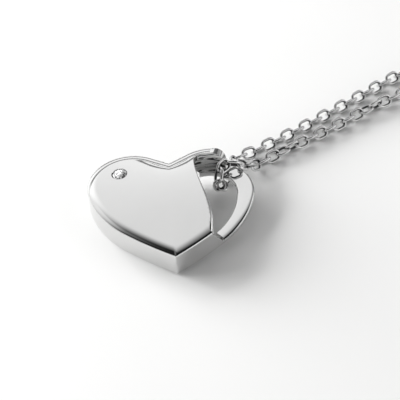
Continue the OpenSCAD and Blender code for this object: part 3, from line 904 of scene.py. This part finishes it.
# Camera at the photograph's view: PICTURE pixels wide and high, the layout's origin, raised by
# AIM_Z, at the pixel AIM, and a focal length of FOCAL pixels
TILT, TURN, DISTANCE, FOCAL = math.radians(42), math.radians(3.44), 220.0, 2046.0
PICTURE, AIM, AIM_Z, SENSOR = 400, (172.9, 211.7), 0.0878, 36


def place_camera():
    """Camera in the layout's millimetres, turned with the view, then moved to the row."""
    right = np.array((1, 0, 0))
    up = np.array((0, math.sin(TILT), math.cos(TILT)))
    away = np.array((0, -math.cos(TILT), math.sin(TILT)))
    at = (DISTANCE * away - DISTANCE * (AIM[0] - PICTURE / 2) / FOCAL * right
          + DISTANCE * (AIM[1] - PICTURE / 2) / FOCAL * up + np.array((0, 0, AIM_Z)))
    lens = bpy.data.cameras.new("Camera")
    lens.sensor_width, lens.lens = SENSOR, SENSOR * FOCAL / PICTURE
    lens.clip_start, lens.clip_end = 0.005, 10
    camera = bpy.data.objects.new("Camera", lens)
    scene.collection.objects.link(camera)
    pose = Matrix((right, up, away)).transposed().to_4x4()
    pose.translation = Vector(at)
    pose = Matrix.Rotation(-TURN, 4, "Z") @ pose
    pose.translation = (pose.translation + HOME) * MM
    camera.matrix_world = pose
    scene.camera = camera


place_camera()

# Soft lights that the metal doesn't mirror, all of one size and distance, in metres
LIGHT_DISTANCE, LIGHT_SIZE, LIGHT_RISE = 0.45, 0.3, math.radians(15)


def softbox(name, azimuth, power):
    """Square area light that faces the heart; azimuth 90 is behind it, 180 on its left."""
    side = math.radians(azimuth) - TURN
    at = Vector((math.cos(side) * math.cos(LIGHT_RISE), math.sin(side) * math.cos(LIGHT_RISE),
                 math.sin(LIGHT_RISE))) * LIGHT_DISTANCE
    light = bpy.data.lights.new(name, "AREA")
    light.shape, light.size, light.size_y, light.energy = "RECTANGLE", LIGHT_SIZE, LIGHT_SIZE, power
    obj = bpy.data.objects.new(name, light)
    scene.collection.objects.link(obj)
    obj.location = at + HOME * MM
    obj.rotation_euler = (-at).to_track_quat("-Z", "Y").to_euler()
    obj.visible_glossy = False


softbox("Key", azimuth=140, power=3.5)
softbox("Side", azimuth=170, power=2.9)
softbox("Fill", azimuth=240, power=0.2)

# Soft surround that the metal mirrors. Its directions are turned with the view: X to the
# right, Y to the back, Z up.
studio = bpy.data.worlds.new("Studio")
scene.world = studio
studio.use_nodes = True
sky = studio.node_tree
turned = add(sky, "ShaderNodeMapping", Rotation=(0, 0, TURN))
sky.links.new(add(sky, "ShaderNodeTexCoord").outputs["Generated"], turned.inputs["Vector"])
axes = add(sky, "ShaderNodeSeparateXYZ")
sky.links.new(turned.outputs["Vector"], axes.inputs["Vector"])


def math_node(operation, first, second):
    """Result of an operation on two masks."""
    node = add(sky, "ShaderNodeMath", operation=operation)
    sky.links.new(first, node.inputs[0])
    sky.links.new(second, node.inputs[1])
    return node.outputs[0]


def times(first, *others):
    """Product of masks."""
    for other in others:
        first = math_node("MULTIPLY", first, other)
    return first


def brighter(first, second):
    return math_node("MAXIMUM", first, second)


def scaled(mask, factor, added):
    """Mask times a factor, with a number added."""
    node = add(sky, "ShaderNodeMath", operation="MULTIPLY_ADD")
    sky.links.new(mask, node.inputs[0])
    node.inputs[1].default_value = factor
    node.inputs[2].default_value = added
    return node.outputs[0]


def less(amount, mask):
    """1 less a share of a mask."""
    return scaled(mask, -amount, 1)


def ramp(axis, start, end, low=0, high=1):
    """Smooth change along one direction, low at start and high at end."""
    return stepped(sky, axes.outputs[axis], start, end, low, high)


def window(axis, rise_from, rise_to, fall_from, fall_to):
    """1 between two places along a direction, 0 outside them, smooth at both."""
    return times(ramp(axis, rise_from, rise_to), ramp(axis, fall_from, fall_to, 1, 0))


def along(x, y, z):
    """How far a direction points along a fixed one."""
    dot = add(sky, "ShaderNodeVectorMath", operation="DOT_PRODUCT")
    dot.inputs[1].default_value = (x, y, z)
    sky.links.new(turned.outputs["Vector"], dot.inputs[0])
    return dot.outputs["Value"]


# Pale panel over the back, brighter on its left and right and lower down
glow = times(ramp("Y", -0.03, 0.1), stepped(sky, along(0.35, 1, 0), -0.12, 0.42))
glow = times(glow, ramp("X", -0.3, -0.65, 0.79, 1.06), ramp("X", 0.46, 0.62, 1, 1.3))
glow = times(glow, ramp("Z", 0.5, 0.96, 1.2, 0.9))

# Dark strips in it, right of the middle, one for the face and one for the band's outer line
glow = times(glow, less(0.7, window("X", 0.05, 0.4, 0.6, 0.7)))
glow = times(glow, less(0.95, times(window("X", 0.33, 0.42, 0.64, 0.7), ramp("Y", 0.5, 0.35))))

# Two dark level lines, which end at the far left
LINE_SOFT = 0.03
for low, high, depth in ((0.02, 0.1, 0.9), (0.36, 0.44, 0.8)):
    line = window("Z", low - LINE_SOFT, low, high, high + LINE_SOFT)
    glow = times(glow, less(depth, times(line, ramp("X", -0.9, -0.75))))

# The pale table below, a patch at the far right, low glows in front and on the left, a glow
# on the left that grows towards the back, and a faint patch overhead
ABOVE_TABLE = ("Z", 0, 0.04)
glow = brighter(glow, ramp("Z", 0.02, -0.02, 0, 0.85))
glow = brighter(glow, times(ramp("X", 0.68, 0.8, 0, 1.1), ramp("Z", 0.1, 0.2), ramp("Y", 0.45, 0.3)))
glow = brighter(glow, times(ramp("Z", 0.5, 0.3, 0, 0.75), ramp(*ABOVE_TABLE), ramp("Y", -0.3, -0.5)))
glow = brighter(glow, times(ramp("Z", 0.7, 0.45, 0, 0.6), ramp(*ABOVE_TABLE), ramp("X", -0.62, -0.78)))
glow = brighter(glow, times(ramp("Y", -0.1, 0.42, 0, 0.85), ramp("X", -0.47, -0.64)))
overhead = times(ramp("X", -0.36, -0.2, 0, 0.12), ramp("X", -0.02, 0.1, 1, 0), ramp("Z", 0.8, 0.9))
glow = brighter(glow, overhead)

# Strength of the whole surround, and the least light from anywhere
SURROUND_GAIN, SURROUND_LEAST = 1.18, 0.012
backdrop = sky.nodes["Background"]
sky.links.new(scaled(glow, SURROUND_GAIN, SURROUND_LEAST), backdrop.inputs["Strength"])
backdrop.inputs["Color"].default_value = (1, 1, 1, 1)

scene.view_settings.view_transform = "Standard"
